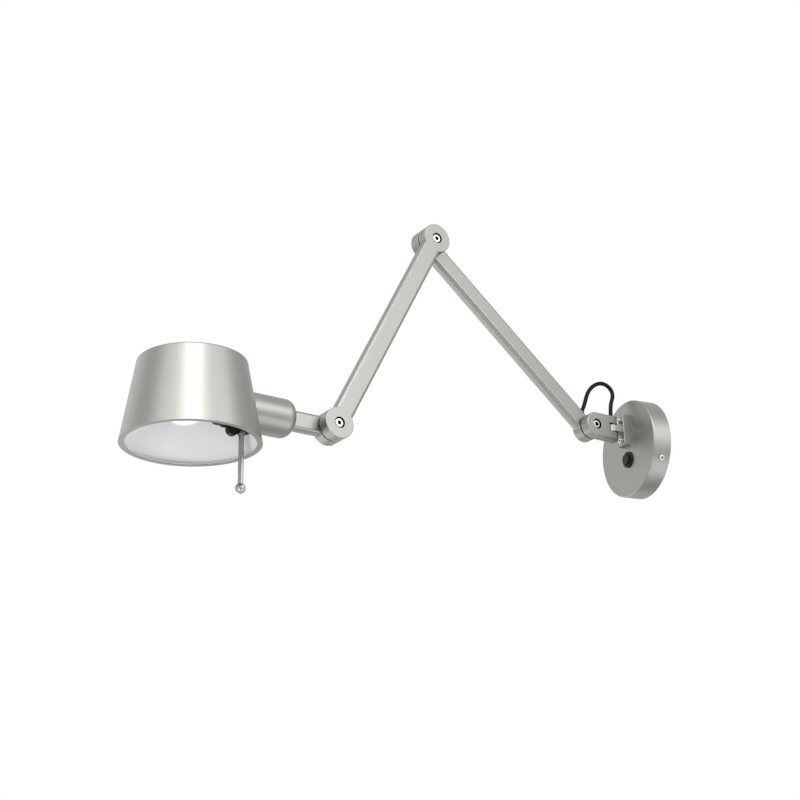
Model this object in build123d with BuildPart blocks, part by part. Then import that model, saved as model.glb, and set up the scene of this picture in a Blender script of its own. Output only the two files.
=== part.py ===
from build123d import *
import os
from math import cos, pi, radians, sin, tan

# Articulating wall lamp, in millimetres. The wall is the plane y = 0 and the lamp stands out
# towards -Y, with +Z up and the origin at the middle of the wall plate's back face.
os.makedirs("parts", exist_ok=True)

# ---------------------------------------------------------------- fits
running_fit = 0.05  # radial, where a pin or bolt turns in its bore
seat_fit = 0.02  # radial, where a pin or screw stays put
slip_fit = 0.1  # radial, covers and tubes pushed together
face_gap = 0.1  # between flat faces that turn on each other
screw_clearance = 0.2  # radial, where a screw passes through without gripping

# ---------------------------------------------------------------- wall plate and canopy
canopy_diameter = 120
canopy_depth = 24
canopy_wall = 1.5
canopy_edge = 1.8
plate_gap = 1.5  # radial, between the plate and the canopy's side
plate_diameter = canopy_diameter - 2 * (canopy_wall + plate_gap)
plate_thickness = 2
cable_entry_diameter = 20
wall_screw_spacing = 70
wall_slot_length = 10
wall_slot_width = 5
tab_width = 14
tab_length = 14
tab_thickness = 2
side_screw_angles = (-28, 92, 212)
side_screw_height = 12
side_screw_diameter = 4
side_screw_head_diameter = 7
side_screw_head_height = 2.4
side_screw_head_edge = 0.6
side_screw_length = 6
side_screw_socket = 2.5
side_screw_socket_depth = 1.2

# ---------------------------------------------------------------- terminals inside the canopy
terminal_size = (30, 15, 11)
terminal_inset = 18  # from the plate's edge to the middle of the block
terminal_place = (0, terminal_inset - plate_diameter / 2)
terminal_edge = 1
terminal_pitch = 9
terminal_row = 8
terminal_poles = 3
wire_hole_diameter = 3.2
terminal_screw_diameter = 3
terminal_screw_length = 4
terminal_peg_diameter = 3
terminal_peg_spacing = 22
earth_screw_place = (-30, -27)
earth_screw_diameter = 4
earth_screw_head_diameter = 8
earth_screw_head_height = 2.6
driver_slot_width = 0.8
driver_slot_depth = 0.9

# ---------------------------------------------------------------- push switch
switch_drop = 14.6
bezel_diameter = 20
bezel_height = 2.4
bezel_edge = 0.6
switch_diameter = 16
switch_length = 17
switch_hole_fit = 0.2
switch_nut_flats = 19
switch_nut_height = 2.5
switch_tag_size = (0.8, 2.8, 4)
switch_tag_spacing = 7
button_diameter = 13.4
button_rise = 2.8
button_travel = 2
button_inside = 5
button_stop_gap = 0.5
button_edge = 0.9

# ---------------------------------------------------------------- hinge at the wall
pin_reach = 44  # wall to the axis of the hinge pin
hinge_height = 22.7  # above the middle of the canopy
hinge_swing = 10.5  # rest position, turned towards +X
bracket_width = 16
bracket_height = 38.6
bracket_depth = 8.2
bracket_centre = 22.3
bracket_edge = 0.8
bracket_screw_spacing = 26
bracket_screw_diameter = 4
bracket_screw_head_diameter = 6.6
bracket_screw_head_height = 2.2
bracket_screw_head_edge = 0.5
bracket_screw_socket = 2.5
bracket_screw_socket_depth = 1.3
bracket_screw_grip = 1
backing_margin = 4
backing_thickness = 3
wire_bore = 5
tongue_width = 14
tongue_thickness = 8
hinge_washer_thickness = 1.5
slot_reach = 9.1  # from the hinge pin to the closed end of the knuckle's slot
pin_diameter = 9
pin_wire_bore = 6.4
pin_floor_margin = 0.6  # from the side hole down to the bore's floor
pin_foot = 0.5  # how far the pin stands out below the knuckle
pin_edge = 0.5
bush_depth = 3
bush_lip = 0.8
bush_lip_diameter = 10.6
bush_pin_gap = 0.4

# ---------------------------------------------------------------- arms
arm_length = 299.5  # between bolt axes
arm_width = 23.4
arm_thickness = 13.6
arm_edge_radius = 4.2
arm_wall = 2.4
joint_eye_diameter = 36
shoulder_eye_diameter = 30.4
eye_edge = 0.6
knuckle_edge = 1.2
eye_reach = 29.4  # hinge pin to the shoulder bolt
rear_arm_angle = 39.95
front_arm_angle = -61.04
eye_to_channel = 3

# ---------------------------------------------------------------- pivot bolts
bolt_diameter = 6
bolt_head_diameter = 10
bolt_head_height = 6
bolt_head_edge = 0.6
bolt_socket = 5
bolt_socket_depth = 3
counterbore_diameter = 13
head_recess = 1
nut_flats = 10
nut_height = 5
nut_recess = 1.1
bolt_end_recess = 0.6
washer_diameter = 28.8
washer_thickness = 1.4

# ---------------------------------------------------------------- cable loop over the shoulder
cable_diameter = 5
cable_bend_share = 0.45  # part of the shorter run that a bend may use
cable_seat = 0.1  # from the bush's lower end up to the end of the cable
grommet_place = 18  # along the rear arm from the shoulder bolt
grommet_flange_diameter = 9
grommet_flange_height = 1.6
grommet_diameter = 7
grommet_depth = 4
cable_run_out = 5.4  # straight out of the grommet
# Corners of the route in the frame of the arms: outwards, up, towards the far arm.
cable_corners = [
    (0, 30.2, 0),
    (-11.3, 44.4, 1.9),
    (-8.9, 58.9, 5.2),
    (3.6, 66.6, 8.6),
    (17.9, 62.3, 10.7),
    (24.7, 47.4, 13.4),
    (25.9, 36.8, 15.9),
]

# ---------------------------------------------------------------- stem, neck and lampholder
stem_width = 22
stem_length = 50  # wrist bolt to the back of the neck
spigot_diameter = 14
spigot_length = 8  # from the back of the neck inwards
stem_bore = 6
stem_bore_start = 24
stem_nut_flats = 19
stem_nut_height = 4
neck_diameter = 43
neck_wall = 1.5
neck_back_wall = 2.4
neck_round = 11
holder_back_gap = 4  # from the end of the stem's spigot to the back of the lampholder
holder_wall = 2.4
partition_start = -69  # this and the places below are measured outwards from the shade's axis
partition_thickness = 5
holder_end = -37
holder_nose_diameter = 36
holder_nose_length = 4
wire_hole_spacing = 16
front_ring_diameter = 41
front_ring_length = 6
front_ring_opening = 30
front_ring_edge = 1
shade_ring_diameter = 43.4
shade_ring_end = -41
flange_diameter = 49.6
flange_end = -63
boss_diameter = 13.4
boss_thickness = 6
boss_place = (-48.4, -23.8)
pad_diameter = 9
pad_end = -25  # height of the pad's lower face, from the neck's axis
shell_diameter = 28.4
shell_wall = 0.6
contact_diameter = 8
contact_length = 6.5
cap_diameter = 26.4
cap_start = -56
cap_end = -31
cap_floor = 2
cap_tip_diameter = 9
bulb_diameter = 57
bulb_centre = 8
bulb_stalk_diameter = 25
bulb_stalk_start = -53
bulb_blend = 12
bulb_wall = 1

# ---------------------------------------------------------------- shade and handle
shade_reach = 169  # wrist bolt to the shade's own axis
shade_turn = -1.4  # rest position, degrees about the neck
shade_bottom_diameter = 148
shade_top_diameter = 116
shade_top = 41.6  # above the neck's axis
shade_bottom = -48.1
shade_wall = 1
shade_top_round = 2.5
shade_rim_width = 6
shade_rim_thickness = 1.2
handle_place = -60
handle_lean = 0.8  # degrees, the rod's foot away from the wrist
handle_diameter = 6
handle_top_gap = 0.3  # between the rod and the lampholder
handle_ball_diameter = 11.4
handle_ball_drop = 86.8
handle_ball_grip = 2.6
handle_collar_diameter = 8.4
handle_collar_height = 3.5
handle_collar_edge = 0.8

# ---------------------------------------------------------------- frames and derived places
wall = Plane.XZ  # x to the right, y up, normal pointing out from the wall
swing = Plane(
    origin=(0, -pin_reach, hinge_height),
    x_dir=(sin(radians(hinge_swing)), -cos(radians(hinge_swing)), 0),
    z_dir=(-cos(radians(hinge_swing)), -sin(radians(hinge_swing)), 0),
)  # x outwards along the arms, y up, normal from the near arm to the far one
level = Plane(origin=swing.origin, x_dir=swing.x_dir, z_dir=(0, 0, 1))  # normal up the hinge pin
half_thick = arm_thickness / 2
far_layer = arm_thickness + washer_thickness + face_gap
far_face = far_layer + half_thick
knuckle_half_height = shoulder_eye_diameter / 2
slot_height = tongue_thickness + 2 * hinge_washer_thickness + 2 * face_gap
head_seat = head_recess + bolt_head_height - half_thick
nut_seat = far_face - nut_recess - nut_height
spigot_end = stem_length + spigot_length
holder_start = spigot_end + holder_back_gap - shade_reach


def reach(start, angle, length):
    """The point at an angle and a length from another, in the plane of the arms."""
    return (start[0] + length * cos(radians(angle)), start[1] + length * sin(radians(angle)))


def frame_at(point, depth=0, turn=0):
    """A plane parallel to the arms at a point, its x turned by an angle."""
    return Plane(swing.location * Pos(point[0], point[1], depth) * Rot(0, 0, turn))


def moved(plane, x, y):
    """The same plane with its origin moved within it."""
    return Plane(plane.location * Pos(x, y, 0))


def crossing(frame, x, y=0):
    """The plane square to a frame's x, at a point of the frame."""
    spot = frame.from_local_coords((x, y, 0))
    return Plane(origin=spot, x_dir=frame.y_dir, z_dir=frame.x_dir)


def downward(frame, x, y):
    """The plane at a point of a frame whose normal points down."""
    spot = frame.from_local_coords((x, y, 0))
    return Plane(origin=spot, x_dir=frame.x_dir, z_dir=-frame.y_dir)


shoulder = (eye_reach, 0)
elbow = reach(shoulder, rear_arm_angle, arm_length)
wrist = reach(elbow, front_arm_angle, arm_length)
shoulder_joint = frame_at(shoulder)
elbow_joint = frame_at(elbow)
wrist_joint = frame_at(wrist)
rear = frame_at(shoulder, far_layer, rear_arm_angle)
rear_end = frame_at(elbow, far_layer)
front = frame_at(elbow, 0, front_arm_angle)
head = frame_at(wrist, far_layer)
shade_frame = Plane(head.location * Pos(shade_reach, 0, 0) * Rot(shade_turn, 0, 0))
shade_axis = Axis(shade_frame.origin, shade_frame.y_dir)
neck_axis = Axis(head.origin, head.x_dir)
boss_frame = moved(shade_frame, *boss_place).offset(-boss_thickness / 2)
rod_frame = Plane(shade_frame.location * Pos(handle_place, 0, 0) * Rot(0, 0, handle_lean))


# ---------------------------------------------------------------- repeated shapes
def column(plane, diameter, length):
    """A cylinder standing on a plane."""
    with BuildPart() as body:
        with BuildSketch(plane):
            Circle(diameter / 2)
        extrude(amount=length)
    return body.part


def prism(plane, flats, length):
    """A hexagonal bar standing on a plane."""
    with BuildPart() as body:
        with BuildSketch(plane):
            RegularPolygon(flats / 2, side_count=6, major_radius=False)
        extrude(amount=length)
    return body.part


def ring(plane, outside, inside, length):
    """A flat ring standing on a plane."""
    with BuildPart() as body:
        with BuildSketch(plane):
            Circle(outside / 2)
            Circle(inside / 2, mode=Mode.SUBTRACT)
        extrude(amount=length)
    return body.part


def bar(frame, start, end, width, thickness, edge):
    """A straight bar along a frame's x, with its four long edges rounded."""
    with BuildPart() as body:
        with BuildSketch(crossing(frame, start)):
            RectangleRounded(width, thickness, edge)
        extrude(amount=end - start)
    return body.part


def eye(frame, diameter):
    """The flat round end of an arm, centred on its frame."""
    with BuildPart() as body:
        with BuildSketch(frame.offset(-half_thick)):
            Circle(diameter / 2)
        extrude(amount=arm_thickness)
        fillet(body.edges().filter_by(GeomType.CIRCLE), eye_edge)
    return body.part


def near_bore(joint):
    """What a pivot bolt takes out of the near piece: the counterbore and a close hole."""
    with BuildPart() as cut:
        add(column(joint.offset(-half_thick), counterbore_diameter, head_seat + half_thick))
        add(column(joint.offset(-half_thick), bolt_diameter + 2 * seat_fit, arm_thickness))
    return cut.part


def far_bore(joint):
    """What a pivot bolt takes out of the far piece: a running hole and the nut's counterbore."""
    with BuildPart() as cut:
        add(column(joint.offset(far_layer - half_thick), bolt_diameter + 2 * running_fit, arm_thickness))
        add(column(joint.offset(nut_seat - face_gap), counterbore_diameter, far_face - nut_seat + face_gap))
    return cut.part


def pivot_bolt(joint):
    """A socket-head bolt, its head sunk in the near piece."""
    top = joint.offset(head_recess - half_thick)
    with BuildPart() as body:
        with BuildSketch(top):
            Circle(bolt_head_diameter / 2)
        extrude(amount=bolt_head_height)
        fillet(body.edges().group_by(Axis(joint.origin, joint.z_dir))[0], bolt_head_edge)
        add(column(joint.offset(head_seat), bolt_diameter, far_face - bolt_end_recess - head_seat))
        add(prism(top, bolt_socket, bolt_socket_depth), mode=Mode.SUBTRACT)
    return body.part


def pivot_nut(joint):
    """The lock nut at the far end of a pivot bolt."""
    with BuildPart() as body:
        add(prism(joint.offset(nut_seat), nut_flats, nut_height))
        add(column(joint.offset(nut_seat), bolt_diameter + 2 * seat_fit, nut_height), mode=Mode.SUBTRACT)
    return body.part


def pivot_washer(joint):
    """The flat washer between two pieces, resting on the near one."""
    return ring(joint.offset(half_thick), washer_diameter, bolt_diameter + 2 * seat_fit, washer_thickness)


def socket_screw(plane, size, head, length, edge, socket):
    """A domed screw whose head stands on a plane and whose shank runs back through it."""
    head_diameter, head_height = head
    with BuildPart() as body:
        with BuildSketch(plane):
            Circle(head_diameter / 2)
        extrude(amount=head_height)
        fillet(body.edges().group_by(Axis(plane.origin, plane.z_dir))[-1], edge)
        add(column(plane.offset(-length), size, length))
        add(prism(plane.offset(head_height - socket[1]), socket[0], socket[1]), mode=Mode.SUBTRACT)
    return body.part


def save(part, name):
    """Label a finished piece and write its STEP file."""
    part.label = name
    export_step(part, f"parts/{name}.step")


def save_group(pieces, name):
    """Write several like solids as one node."""
    save(Compound(children=pieces), name)


def rim_plane(angle, radius):
    """The plane on the canopy's rim whose normal points outwards."""
    away = (cos(radians(angle)), 0, sin(radians(angle)))
    spot = (radius * away[0], -side_screw_height, radius * away[2])
    return Plane(origin=spot, x_dir=(0, -1, 0), z_dir=away)


# ---------------------------------------------------------------- wall plate
with BuildPart() as mounting_plate:
    with BuildSketch(wall):
        Circle(plate_diameter / 2)
        Circle(cable_entry_diameter / 2, mode=Mode.SUBTRACT)
        with GridLocations(wall_screw_spacing, 0, 2, 1):
            SlotOverall(wall_slot_length, wall_slot_width, mode=Mode.SUBTRACT)
        with GridLocations(terminal_peg_spacing, 0, 2, 1):
            with Locations(terminal_place):
                Circle(terminal_peg_diameter / 2 + seat_fit, mode=Mode.SUBTRACT)
        with Locations(earth_screw_place):
            Circle(earth_screw_diameter / 2 + seat_fit, mode=Mode.SUBTRACT)
    extrude(amount=plate_thickness)
    for angle in side_screw_angles:
        with BuildSketch(wall):
            with Locations(Rot(0, 0, angle) * Pos((plate_diameter - tab_thickness) / 2, 0)):
                Rectangle(tab_thickness, tab_width)
        extrude(amount=plate_thickness + tab_length)
        tab_hole = column(rim_plane(angle, 0), side_screw_diameter + 2 * seat_fit, canopy_diameter)
        add(tab_hole, mode=Mode.SUBTRACT)
save(mounting_plate.part, "mounting_plate")

# ---------------------------------------------------------------- canopy
with BuildPart() as canopy:
    with BuildSketch(wall):
        Circle(canopy_diameter / 2)
    extrude(amount=canopy_depth)
    fillet(canopy.edges().group_by(Axis.Y)[0], canopy_edge)
    with BuildSketch(wall):
        Circle(canopy_diameter / 2 - canopy_wall)
    extrude(amount=canopy_depth - canopy_wall, mode=Mode.SUBTRACT)
    with BuildSketch(wall):
        with Locations((0, -switch_drop)):
            Circle(switch_diameter / 2 + switch_hole_fit)
        with Locations((0, hinge_height)):
            Circle(wire_bore / 2)
        with Locations((0, bracket_centre)):
            with GridLocations(0, bracket_screw_spacing, 1, 2):
                Circle(bracket_screw_diameter / 2 + screw_clearance)
    extrude(amount=canopy_depth, mode=Mode.SUBTRACT)
    for angle in side_screw_angles:
        rim_hole = column(rim_plane(angle, 0), side_screw_diameter + 2 * screw_clearance, canopy_diameter)
        add(rim_hole, mode=Mode.SUBTRACT)
save(canopy.part, "canopy")

canopy_screws = [
    socket_screw(
        rim_plane(angle, canopy_diameter / 2),
        side_screw_diameter,
        (side_screw_head_diameter, side_screw_head_height),
        side_screw_length,
        side_screw_head_edge,
        (side_screw_socket, side_screw_socket_depth),
    )
    for angle in side_screw_angles
]
save_group(canopy_screws, "canopy_screws")

# ---------------------------------------------------------------- terminals
terminal_width, terminal_depth, terminal_height = terminal_size
with BuildPart() as terminal_block:
    with BuildSketch(wall.offset(plate_thickness)):
        with Locations(terminal_place):
            RectangleRounded(terminal_width, terminal_depth, terminal_edge)
    extrude(amount=terminal_height)
    with BuildSketch(wall):
        with Locations(terminal_place):
            with GridLocations(terminal_peg_spacing, 0, 2, 1):
                Circle(terminal_peg_diameter / 2)
    extrude(amount=plate_thickness)
    with BuildSketch(wall.offset(plate_thickness + terminal_height)):
        with Locations(terminal_place):
            with GridLocations(terminal_pitch, terminal_row, terminal_poles, 2):
                Circle(terminal_screw_diameter / 2 + seat_fit)
    extrude(amount=-terminal_screw_length, mode=Mode.SUBTRACT)
    with BuildSketch(Plane.XY.offset(terminal_place[1] - terminal_depth / 2)):
        with Locations((0, -plate_thickness - terminal_height / 2)):
            with GridLocations(terminal_pitch, 0, terminal_poles, 1):
                Circle(wire_hole_diameter / 2)
    extrude(amount=terminal_depth, mode=Mode.SUBTRACT)
save(terminal_block.part, "terminal_block")

with BuildPart() as terminal_screws:
    with BuildSketch(wall.offset(plate_thickness + terminal_height)):
        with Locations(terminal_place):
            with GridLocations(terminal_pitch, terminal_row, terminal_poles, 2):
                Circle(terminal_screw_diameter / 2)
    extrude(amount=-terminal_screw_length)
    with BuildSketch(wall.offset(plate_thickness + terminal_height)):
        with Locations(terminal_place):
            with GridLocations(terminal_pitch, terminal_row, terminal_poles, 2):
                Rectangle(driver_slot_width, terminal_screw_diameter)
    extrude(amount=-driver_slot_depth, mode=Mode.SUBTRACT)
save(terminal_screws.part, "terminal_screws")

with BuildPart() as earth_screw:
    with BuildSketch(wall):
        with Locations(earth_screw_place):
            Circle(earth_screw_diameter / 2)
    extrude(amount=plate_thickness)
    with BuildSketch(wall.offset(plate_thickness)):
        with Locations(earth_screw_place):
            Circle(earth_screw_head_diameter / 2)
    extrude(amount=earth_screw_head_height)
    with BuildSketch(wall.offset(plate_thickness + earth_screw_head_height)):
        with Locations(earth_screw_place):
            Rectangle(driver_slot_width, earth_screw_head_diameter)
    extrude(amount=-driver_slot_depth, mode=Mode.SUBTRACT)
save(earth_screw.part, "earth_screw")

# ---------------------------------------------------------------- push switch
switch_face = moved(wall.offset(canopy_depth), 0, -switch_drop)
button_bore = button_diameter + 2 * slip_fit
button_pocket = bezel_height + button_inside - button_rise + button_travel + button_stop_gap
tag_width, tag_depth, tag_length = switch_tag_size
with BuildPart() as switch_body:
    with BuildSketch(switch_face):
        Circle(bezel_diameter / 2)
    extrude(amount=bezel_height)
    fillet(switch_body.edges().group_by(Axis.Y)[0], bezel_edge)
    add(column(switch_face.offset(-switch_length), switch_diameter, switch_length))
    button_seat = switch_face.offset(bezel_height - button_pocket)
    add(column(button_seat, button_bore, button_pocket), mode=Mode.SUBTRACT)
    with BuildSketch(switch_face.offset(-switch_length)):
        with GridLocations(switch_tag_spacing, 0, 2, 1):
            Rectangle(tag_width, tag_depth)
    extrude(amount=-tag_length)
save(switch_body.part, "switch_body")

with BuildPart() as switch_nut:
    inner_skin = switch_face.offset(-canopy_wall)
    add(prism(inner_skin, switch_nut_flats, -switch_nut_height))
    add(column(inner_skin, switch_diameter + 2 * seat_fit, -switch_nut_height), mode=Mode.SUBTRACT)
save(switch_nut.part, "switch_nut")

with BuildPart() as switch_button:
    add(column(switch_face.offset(bezel_height + button_rise - button_inside), button_diameter, button_inside))
    fillet(switch_button.edges().group_by(Axis.Y)[0], button_edge)
save(switch_button.part, "switch_button")

# ---------------------------------------------------------------- hinge bracket
bracket_face = wall.offset(canopy_depth + bracket_depth)
with BuildPart() as hinge_bracket:
    with BuildSketch(wall.offset(canopy_depth)):
        with Locations((0, bracket_centre)):
            Rectangle(bracket_width, bracket_height)
    extrude(amount=bracket_depth)
    fillet(hinge_bracket.edges().group_by(Axis.Y)[0], bracket_edge)
    with BuildSketch(Plane.XY.offset(hinge_height - tongue_thickness / 2)):
        with Locations((0, -pin_reach)):
            Circle(tongue_width / 2)
            Rectangle(tongue_width, pin_reach - canopy_depth - bracket_edge, align=(Align.CENTER, Align.MIN))
    extrude(amount=tongue_thickness)
    pin_hole = column(level.offset(-tongue_thickness), pin_diameter + 2 * seat_fit, 2 * tongue_thickness)
    add(pin_hole, mode=Mode.SUBTRACT)
    with BuildSketch(wall):
        with Locations((0, hinge_height)):
            Circle(wire_bore / 2)
    extrude(amount=pin_reach, mode=Mode.SUBTRACT)
    with BuildSketch(wall):
        with Locations((0, bracket_centre)):
            with GridLocations(0, bracket_screw_spacing, 1, 2):
                Circle(bracket_screw_diameter / 2 + screw_clearance)
    extrude(amount=pin_reach, mode=Mode.SUBTRACT)
save(hinge_bracket.part, "hinge_bracket")

with BuildPart() as backing_plate:
    with BuildSketch(wall.offset(canopy_depth - canopy_wall)):
        with Locations((0, bracket_centre)):
            Rectangle(bracket_width + 2 * backing_margin, bracket_height + 2 * backing_margin)
            with GridLocations(0, bracket_screw_spacing, 1, 2):
                Circle(bracket_screw_diameter / 2 + seat_fit, mode=Mode.SUBTRACT)
        with Locations((0, hinge_height)):
            Circle(wire_bore / 2, mode=Mode.SUBTRACT)
    extrude(amount=-backing_thickness)
save(backing_plate.part, "backing_plate")

bracket_screw_length = bracket_depth + canopy_wall + backing_thickness + bracket_screw_grip
bracket_screws = [
    socket_screw(
        moved(bracket_face, 0, bracket_centre + side * bracket_screw_spacing / 2),
        bracket_screw_diameter,
        (bracket_screw_head_diameter, bracket_screw_head_height),
        bracket_screw_length,
        bracket_screw_head_edge,
        (bracket_screw_socket, bracket_screw_socket_depth),
    )
    for side in (-1, 1)
]
save_group(bracket_screws, "bracket_screws")

pin_top = knuckle_half_height - bush_depth - bush_pin_gap
pin_bottom = -knuckle_half_height - pin_foot
with BuildPart() as hinge_pin:
    add(column(level.offset(pin_bottom), pin_diameter, pin_top - pin_bottom))
    fillet(hinge_pin.edges().group_by(Axis.Z)[0], pin_edge)
    wire_floor = -wire_bore / 2 - pin_floor_margin
    add(column(level.offset(wire_floor), pin_wire_bore, pin_top - wire_floor), mode=Mode.SUBTRACT)
    side_hole = column(Plane(origin=level.origin, z_dir=(0, 1, 0)), wire_bore, pin_diameter)
    add(side_hole, mode=Mode.SUBTRACT)
save(hinge_pin.part, "hinge_pin")

hinge_washers = [
    ring(level.offset(base), tongue_width, pin_diameter + 2 * seat_fit, hinge_washer_thickness)
    for base in (tongue_thickness / 2, -tongue_thickness / 2 - hinge_washer_thickness)
]
save_group(hinge_washers, "hinge_washers")

# ---------------------------------------------------------------- knuckle
with BuildPart() as knuckle_block:
    with BuildSketch(swing.offset(-half_thick)):
        with Locations(shoulder):
            Circle(shoulder_eye_diameter / 2)
            Rectangle(eye_reach + half_thick, shoulder_eye_diameter, align=(Align.MAX, Align.CENTER))
    extrude(amount=arm_thickness)
    face_edges = knuckle_block.faces().filter_by(Axis(swing.origin, swing.z_dir)).edges()
    fillet(face_edges, knuckle_edge)
    with BuildSketch(level.offset(-knuckle_half_height)):
        Circle(half_thick)
        Rectangle(eye_reach + knuckle_half_height, arm_thickness, align=(Align.MIN, Align.CENTER))
    extrude(amount=shoulder_eye_diameter, mode=Mode.INTERSECT)
    with BuildSketch(swing.offset(-arm_thickness)):
        with Locations((slot_reach, 0)):
            Rectangle(slot_reach + arm_thickness, slot_height, align=(Align.MAX, Align.CENTER))
    extrude(amount=2 * arm_thickness, mode=Mode.SUBTRACT)
    pin_bore = column(level.offset(-arm_thickness * 2), pin_diameter + 2 * running_fit, 4 * arm_thickness)
    add(pin_bore, mode=Mode.SUBTRACT)
    add(near_bore(shoulder_joint), mode=Mode.SUBTRACT)
save(knuckle_block.part, "knuckle_block")

with BuildPart() as cable_bush:
    bush_diameter = pin_diameter + 2 * running_fit - 2 * seat_fit
    add(column(level.offset(knuckle_half_height - bush_depth), bush_diameter, bush_depth))
    add(column(level.offset(knuckle_half_height), bush_lip_diameter, bush_lip))
    bush_hole = column(level, cable_diameter + 2 * seat_fit, shoulder_eye_diameter)
    add(bush_hole, mode=Mode.SUBTRACT)
save(cable_bush.part, "cable_bush")

# ---------------------------------------------------------------- arms
channel_size = (arm_width - 2 * arm_wall, arm_thickness - 2 * arm_wall, arm_edge_radius - arm_wall)
channel_end = arm_length - joint_eye_diameter / 2 - eye_to_channel
with BuildPart() as rear_arm:
    add(bar(rear, 0, arm_length, arm_width, arm_thickness, arm_edge_radius))
    add(eye(rear, shoulder_eye_diameter))
    add(eye(rear_end, joint_eye_diameter))
    rear_channel_start = counterbore_diameter / 2 + arm_wall + eye_to_channel
    add(bar(rear, rear_channel_start, channel_end, *channel_size), mode=Mode.SUBTRACT)
    add(far_bore(shoulder_joint), mode=Mode.SUBTRACT)
    add(far_bore(elbow_joint), mode=Mode.SUBTRACT)
    grommet_hole = column(downward(rear, grommet_place, arm_width), grommet_diameter + 2 * seat_fit, arm_width)
    add(grommet_hole, mode=Mode.SUBTRACT)
save(rear_arm.part, "rear_arm")

with BuildPart() as front_arm:
    add(bar(front, 0, arm_length, arm_width, arm_thickness, arm_edge_radius))
    add(eye(elbow_joint, joint_eye_diameter))
    add(eye(wrist_joint, joint_eye_diameter))
    front_channel_start = joint_eye_diameter / 2 + eye_to_channel
    add(bar(front, front_channel_start, channel_end, *channel_size), mode=Mode.SUBTRACT)
    add(near_bore(elbow_joint), mode=Mode.SUBTRACT)
    add(near_bore(wrist_joint), mode=Mode.SUBTRACT)
save(front_arm.part, "front_arm")

for name, joint in (("shoulder", shoulder_joint), ("elbow", elbow_joint), ("wrist", wrist_joint)):
    save(pivot_bolt(joint), f"{name}_bolt")
    save(pivot_nut(joint), f"{name}_nut")
    save(pivot_washer(joint), f"{name}_washer")

# ---------------------------------------------------------------- cable loop
arm_top = arm_width / 2
with BuildPart() as arm_grommet:
    flange_top = downward(rear, grommet_place, arm_top + grommet_flange_height)
    add(column(flange_top, grommet_flange_diameter, grommet_flange_height))
    add(column(flange_top, grommet_diameter, grommet_flange_height + grommet_depth))
    cable_hole = column(flange_top, cable_diameter + 2 * slip_fit, arm_top)
    add(cable_hole, mode=Mode.SUBTRACT)
save(arm_grommet.part, "arm_grommet")

grommet_points = [
    swing.to_local_coords(rear.from_local_coords((grommet_place, height, 0)))
    for height in (arm_top + grommet_flange_height + cable_run_out, arm_top)
]
cable_points = [Vector(0, knuckle_half_height - bush_depth + cable_seat, 0)]
cable_points += [Vector(*corner) for corner in cable_corners]
cable_points += grommet_points
cable_radii = []
for before, corner, after in zip(cable_points, cable_points[1:], cable_points[2:]):
    half_turn = radians((corner - before).get_angle(after - corner)) / 2
    shorter = min((corner - before).length, (after - corner).length)
    cable_radii.append(cable_bend_share * shorter / tan(half_turn))
cable_places = [swing.from_local_coords(point) for point in cable_points]
with BuildPart() as cable_loop:
    with BuildLine() as cable_path:
        FilletPolyline(*cable_places, radius=cable_radii)
    with BuildSketch(Plane(origin=cable_path.line @ 0, z_dir=cable_path.line % 0)):
        Circle(cable_diameter / 2)
    sweep(path=cable_path.line)
save(cable_loop.part, "cable_loop")
print("cable bend radii", [round(radius, 1) for radius in cable_radii])
cable_area = pi * cable_diameter**2 / 4
print("cable length", round(cable_path.wires()[0].length, 2))
print("cable volume over section", round(cable_loop.part.volume / cable_area, 2))

# ---------------------------------------------------------------- stem
stem_end = stem_length - face_gap
nut_start = stem_length + neck_back_wall + face_gap
with BuildPart() as stem:
    add(bar(head, 0, stem_end, stem_width, arm_thickness, arm_edge_radius))
    add(eye(head, joint_eye_diameter))
    add(column(crossing(head, stem_end), spigot_diameter, spigot_end - stem_end))
    add(column(crossing(head, stem_bore_start), stem_bore, spigot_end - stem_bore_start), mode=Mode.SUBTRACT)
    add(far_bore(wrist_joint), mode=Mode.SUBTRACT)
save(stem.part, "stem")

with BuildPart() as stem_nut:
    add(prism(crossing(head, nut_start), stem_nut_flats, stem_nut_height))
    nut_thread = column(crossing(head, nut_start), spigot_diameter + 2 * seat_fit, stem_nut_height)
    add(nut_thread, mode=Mode.SUBTRACT)
save(stem_nut.part, "stem_nut")


# ---------------------------------------------------------------- shade
def shade_cone(inset):
    """The solid cone of the shade, its side moved inwards."""
    bottom, top = shade_bottom_diameter / 2 - inset, shade_top_diameter / 2 - inset
    with BuildPart() as body:
        with BuildSketch(shade_frame):
            Polygon((0, shade_bottom), (bottom, shade_bottom), (top, shade_top), (0, shade_top), align=None)
        revolve(axis=shade_axis)
    return body.part


holder_diameter = neck_diameter - 2 * neck_wall - 2 * slip_fit
bottom_radius = shade_bottom_diameter / 2
top_radius = shade_top_diameter / 2
shade_slope = (bottom_radius - top_radius) / (shade_top - shade_bottom)
lip_top = shade_bottom + shade_rim_thickness
roof = shade_top - shade_wall
with BuildPart() as shade:
    with BuildSketch(shade_frame):
        with BuildLine():
            Polyline(
                (0, shade_top),
                (top_radius, shade_top),
                (bottom_radius, shade_bottom),
                (bottom_radius - shade_rim_width, shade_bottom),
                (bottom_radius - shade_rim_width, lip_top),
                (bottom_radius - shade_wall - shade_rim_thickness * shade_slope, lip_top),
                (top_radius - shade_wall + shade_wall * shade_slope, roof),
                (0, roof),
                close=True,
            )
        make_face()
    revolve(axis=shade_axis)
    roof_edge = shade.edges().filter_by(GeomType.CIRCLE).group_by(shade_axis)[-1]
    fillet(roof_edge, shade_top_round)
    holder_hole = column(crossing(shade_frame, holder_start), holder_diameter + 2 * slip_fit, -holder_start)
    add(holder_hole, mode=Mode.SUBTRACT)
save(shade.part, "shade")

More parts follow.
